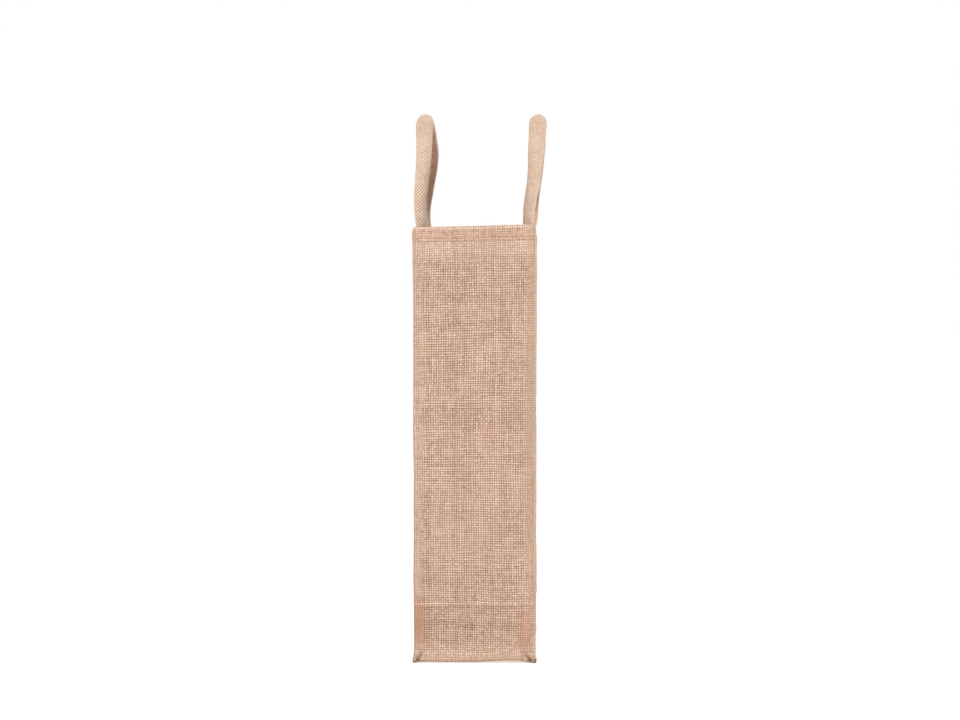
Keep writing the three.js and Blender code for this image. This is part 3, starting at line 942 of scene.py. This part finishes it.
def foot_stitches(node, wall, material):
    """The box with a cross that holds the end of a handle, outside and on the strap inside."""
    low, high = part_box(node)
    y, z = (low.y + high.y) / 2, (low.z + high.z) / 2
    half = (high.z - low.z) / 2 - THREAD
    middle = y * wall.across.y
    corners = [(middle + i * half, z + j * half) for i, j in ((-1, -1), (1, -1), (1, 1), (-1, 1))]
    lines = [(corners[i], corners[(i + 1) % 4]) for i in range(4)]
    lines += [(corners[0], corners[2]), (corners[1], corners[3])]
    runs = [wall_run(wall, *line, SUNK) for line in lines]
    strap = -(CLOTH + 0.4 * MM + TAB_THICKNESS)
    runs += [wall_run(wall, *line, strap + 0.1 * MM, facing=-1) for line in lines]
    return stitches(node.replace("thread", "stitches"), runs, material, 3.1 * MM, 2.7 * MM)


def base_stitches(material):
    """The row round the base, inside the bag."""
    low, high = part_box("base_thread")
    outline = ((low.x, low.y), (high.x, low.y), (high.x, high.y), (low.x, high.y))
    corners = [Vector((x, y, high.z)) for x, y in outline]
    steps = 20
    runs = []
    for start, end in zip(corners, corners[1:] + corners[:1]):
        line = [start.lerp(end, k / steps) for k in range(steps + 1)]
        runs.append(Run(line, [Vector((0, 0, 1))] * len(line)))
    return stitches("base_stitches", runs, material)


# ---- Handles ----
TAB_THICKNESS = 3.4 * MM
TAB_WIDTH = 21.5 * MM
LEG_WIDTH = 19.2 * MM
LEG_LENGTH = 25 * MM  # the legs are straight this far above the bending line
LEG_PULL = 41 * MM  # how far the curve of the loop keeps to the leg's direction
CROWN_PULL = 30.6 * MM  # and to the crown's
HANDLE_TUBE = 14.5 * MM
SLEEVE = 1.2 * MM  # thickness of the webbing round the padding
HANDLE_SIDES = 40
CORD_SIDES = 18
STRAP_STEP = 1.5 * MM
SMOOTHINGS = 12  # of the strap's middle line
SEAM_START = 28 * MM  # the stitches inside the loop start this far above the rim

# A handle's own bends: at each of these heights above the rim, how far its front and rear legs
# stand from the middle of the bag, and how thick both are. All in millimetres.
BEND_HEIGHTS = (0, 5, 16, 26, 41, 51, 61, 72, 84, 96)
BENDS = {
    ("left", "front"): (46.5, 47.3, 47.7, 47.8, 46.5, 45.6, 44.7, 44.4, 44.9, 45.5),
    ("left", "rear"): (47.0, 48.2, 48.8, 48.4, 46.4, 44.8, 43.2, 42.6, 44.1, 45.5),
    ("right", "front"): (45.0, 44.6, 44.8, 46.0, 48.9, 49.8, 50.4, 50.9, 51.6, 52.3),
    ("right", "rear"): (45.6, 46.4, 46.9, 47.0, 48.3, 49.4, 50.4, 50.9, 51.6, 52.3),
}
BEND_THICKNESS = (7.4, 8.8, 9.8, 10.3, 11.4, 12.1, 12.9, 13.6, 14.2, 14.5)
LOOSENESS_AND_LIGHT = {"left": 0.85, "right": 0.3}  # how open the handles' weave is near the rim, and how much paler its yarns are painted there, as painted light


class Handle:
    """One padded strap: from its sewn front end, over the loop, to its sewn rear end."""

    def __init__(self, wall):
        self.side = wall.outwards.x
        self.wall = wall
        self.word = wall.name
        self.body = f"handle_{self.word}"
        self.hinge = HINGES[self.body]
        low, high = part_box(f"{self.body}_front_tab")
        self.leg_y = (low.y + high.y) / 2
        self.foot = low.z - self.hinge.z
        self.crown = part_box(f"{self.body}_sleeve")[1].z - HANDLE_TUBE / 2 - self.hinge.z
        self.line = self.middle_line()
        self.distances = running_lengths(self.line)
        self.length = self.distances[-1]
        self.middles = self.bent_line()

    def middle_line(self):
        """(y, height above the hinge) from foot to foot."""
        leg = self.leg_y
        points = [(leg, w) for w in between(self.foot, LEG_LENGTH, STRAP_STEP)]
        controls = ((leg, LEG_LENGTH), (leg, LEG_LENGTH + LEG_PULL))
        controls += ((-CROWN_PULL, self.crown), (0.0, self.crown))
        steps = 52
        for i in range(steps + 1):
            t = i / steps
            weights = ((1 - t) ** 3, 3 * t * (1 - t) ** 2, 3 * t * t * (1 - t), t**3)
            y, w = (sum(k * c[axis] for k, c in zip(weights, controls)) for axis in (0, 1))
            points.append((y, w))
        return points + [(-y, w) for y, w in reversed(points[:-1])]

    def above_rim(self, distance):
        """Distance along the strap above the rim, negative in the sewn ends."""
        return min(distance, self.length - distance) + self.foot + self.hinge.z - RIM

    def size(self, distance):
        """(width in the loop's plane, thickness across it)."""
        h = self.above_rim(distance)
        narrowed = smooth_step(h, -8 * MM, 24 * MM)
        rounded = smooth_step(h, 24 * MM, 94 * MM)
        width = TAB_WIDTH + (LEG_WIDTH - TAB_WIDTH) * narrowed
        width += (HANDLE_TUBE - width) * rounded
        padded = float(np.interp(h / MM, BEND_HEIGHTS, BEND_THICKNESS)) * MM
        return width, TAB_THICKNESS + (padded - TAB_THICKNESS) * smooth_step(h, -7 * MM, 3 * MM)

    def bent_line(self):
        """The middle of the strap, from foot to foot, in the frame."""
        middles = []
        for (y, w), distance in zip(self.line, self.distances):
            end = "front" if y < 0 else "rear"
            z = self.hinge.z + w
            out = float(np.interp((z - RIM) / MM, BEND_HEIGHTS, BENDS[self.word, end])) * MM
            hem = (HEM_INNER - CLOTH) * smooth_step(z, RIM - HEM - 12 * MM, RIM - HEM)
            inside = CLOTH + 0.5 * MM + hem + self.size(distance)[1] / 2
            sewn = place(self.wall, y * self.wall.across.y, -inside, min(z, RIM))
            free = smooth_step(z, RIM - 1 * MM, RIM + 12 * MM)
            middles.append(Vector((sewn.x + (self.side * out - sewn.x) * free, y, z)))
        for _ in range(SMOOTHINGS):
            inner = [(a + b * 2 + c) / 4 for a, b, c in zip(middles, middles[1:], middles[2:])]
            middles = [middles[0]] + inner + [middles[-1]]
        return middles

    def ring(self, index, shrink=0.0):
        """The strap's centre there and its two half axes, away from the loop's middle and away
        from the bag's."""
        before, after = max(index - 1, 0), min(index + 1, len(self.line) - 1)
        along = (self.middles[after] - self.middles[before]).normalized()
        out = Vector((self.side, 0, 0))
        out = (out - along * out.dot(along)).normalized()
        plane = out.cross(along).normalized() * self.side
        width, thick = self.size(self.distances[index])
        return self.middles[index], plane * (width / 2 - shrink), out * (thick / 2 - shrink)


def strap_radius(handle, distance, angle):
    """How the webbing's surface differs from an even tube: its seam, and small wrinkles. The
    angle is 0 at the seam, on the inside of the loop."""
    h = handle.above_rim(distance)
    loop = smooth_step(h, 6 * MM, 26 * MM)
    inner = (1 + math.cos(angle)) / 2
    from_seam = min(angle, 2 * math.pi - angle)
    seam = -0.9 * bell(from_seam, 0.0, 0.10) + 0.35 * bell(from_seam, 0.3, 0.16)
    crown = smooth_step(h, 57 * MM, 92 * MM)
    puckers = 0.3 * crown * inner**2 * math.sin(2 * math.pi * distance / (5.3 * MM))
    where = Vector((distance * 60, math.cos(angle) * 1.2 + handle.side * 4, math.sin(angle) * 1.2))
    lumps = noise.noise(where) * 0.35 + noise.noise(where * 3.1) * 0.12
    return ((seam + puckers) * loop + lumps) * MM


def handle_webbing(handle, material):
    points, uvs, states = [], [], []
    for index, distance in enumerate(handle.distances):
        centre, plane, out = handle.ring(index)
        h = handle.above_rim(distance)
        power = 0.5 + 0.5 * smooth_step(h, 0.0, 70 * MM)
        padded = 0.9 * smooth_step(h, 2 * MM, 38 * MM)
        loose = LOOSENESS_AND_LIGHT[handle.word] * (1 - smooth_step(h, 35 * MM, 90 * MM))
        ring, state = [], []
        for angle in turns(HANDLE_SIDES):
            c, s = -math.cos(angle), -handle.side * math.sin(angle)
            offset = plane * math.copysign(abs(c) ** power, c)
            offset += out * math.copysign(abs(s) ** power, s)
            offset += offset.normalized() * strap_radius(handle, distance, angle)
            ring.append(centre + offset)
            # The first number is painted shade on the inside of the loop, where the strap is padded;
            # the second is how loose the weave is, whose yarns the material paints paler.
            state.append((padded * smooth_step(-c, 0.25, 0.6), loose, 0.0))
        lengths = running_lengths(ring + ring[:1])
        points.append(ring)
        states.append(state)
        uvs.append([(length - lengths[-1] / 2, distance) for length in lengths])
    patches = Patches()
    patches.tube(points, uvs, states)
    return patches.piece(f"{handle.body}_webbing", material)


def handle_cord(handle, material):
    """The padding: a loosely twisted cord of three strands, inside the webbing."""
    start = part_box(f"{handle.body}_core")[0].z - RIM
    points, uvs = [], []
    for index, distance in enumerate(handle.distances):
        if handle.above_rim(distance) < start:
            continue
        centre, plane, out = handle.ring(index, shrink=SLEEVE + 0.5 * MM)
        ring = []
        for turn in turns(CORD_SIDES):
            angle = turn * handle.side
            lobes = 0.86 + 0.14 * abs(math.cos(1.5 * (angle + distance / (5 * MM))))
            ring.append(centre + (plane * math.cos(angle) + out * math.sin(angle)) * lobes)
        points.append(ring)
        uvs.append([(distance, k / CORD_SIDES) for k in range(CORD_SIDES + 1)])
    patches = Patches()
    patches.tube(points, uvs)
    return patches.piece(f"{handle.body}_cord", material)


def handle_stitches(handle, material):
    """The row over the webbing's seam, on the inside of the loop."""
    points, normals = [], []
    for index, distance in enumerate(handle.distances):
        if handle.above_rim(distance) > SEAM_START:
            centre, plane, _ = handle.ring(index)
            inwards = -plane.normalized()
            points.append(centre - plane + inwards * strap_radius(handle, distance, 0.0) * 0.6)
            normals.append(inwards)
    return stitches(f"{handle.body}_stitches", [Run(points, normals)], material, 3.6 * MM, 3.0 * MM)


# ---- The whole bag ----
def finish_piece(piece, body, slot, *nodes):
    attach(piece, body)
    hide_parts(*nodes)


def sew(piece, node, body="bag"):
    finish_piece(piece, body, "sewing_thread", node)


def build_sheets():
    """The walls, the base and the partition, each with the size that its cloth was cut to."""
    seeds = {"narrow": 10.0, "wide": 27.0, "inner": 44.0}
    jute = {name: jute_material(f"jute_{name}", seed) for name, seed in seeds.items()}
    for name, wall in WALLS.items():
        piece = wall_sheet(f"{name}_cloth", wall, jute["narrow" if wall.narrow else "wide"])
        finish_piece(piece, "bag", "jute_cloth", f"{name}_panel")
    base = base_sheet(jute["inner"])
    finish_piece(base, "bag", "jute_cloth", "base_panel")
    divider = divider_sheet(jute["inner"])
    finish_piece(divider, "bag", "jute_cloth", "divider_panel")


def sew_side(wall, thread):
    """The stitches of a wide panel: the partition's, the handle's ends' and the upright seams'."""
    node = f"divider_thread_{wall.name}"
    low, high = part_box(node)
    a = (low.y + high.y) / 2 * wall.across.y
    run = wall_run(wall, (a, low.z), (a, high.z), SUNK)
    sew(stitches(f"divider_stitches_{wall.name}", [run], thread), node)
    for end in ("front", "rear"):
        node = f"foot_thread_{wall.name}_{end}"
        sew(foot_stitches(node, wall, thread), node)
        node = f"corner_thread_{end}_{wall.name}"
        low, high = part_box(node)
        narrow = WALLS[end]
        a = (low.x + high.x) / 2 * narrow.across.x
        top = (a, RIM - HEM - 2 * MM)
        run = wall_run(narrow, (a, low.z), top, -2 * CLOTH - 0.5 * MM, facing=-1)
        sew(stitches(f"corner_stitches_{end}_{wall.name}", [run], thread), node)


def build_handle(handle, webbing, padding, thread):
    piece = handle_webbing(handle, webbing)
    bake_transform(piece)
    tabs = [f"{handle.body}_front_tab", f"{handle.body}_rear_tab"]
    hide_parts(f"{handle.body}_sleeve", *tabs)
    finish_piece(handle_cord(handle, padding), handle.body, "handle_padding", f"{handle.body}_core")
    sew(handle_stitches(handle, thread), f"{handle.body}_seam_thread", handle.body)


def build():
    make_camera()
    make_studio()
    thread = twist_material("thread", linear(236, 208, 184), linear(182, 146, 116), 1.1 * MM)
    padding = twist_material("padding", linear(240, 232, 214), linear(190, 176, 150), 9 * MM)
    webbing = webbing_material()
    build_sheets()
    sew(hem_stitches(thread), "hem_thread")
    for wall in (WALLS["left"], WALLS["right"]):
        sew_side(wall, thread)
        build_handle(Handle(wall), webbing, padding, thread)
    sew(base_stitches(thread), "base_thread")


build()
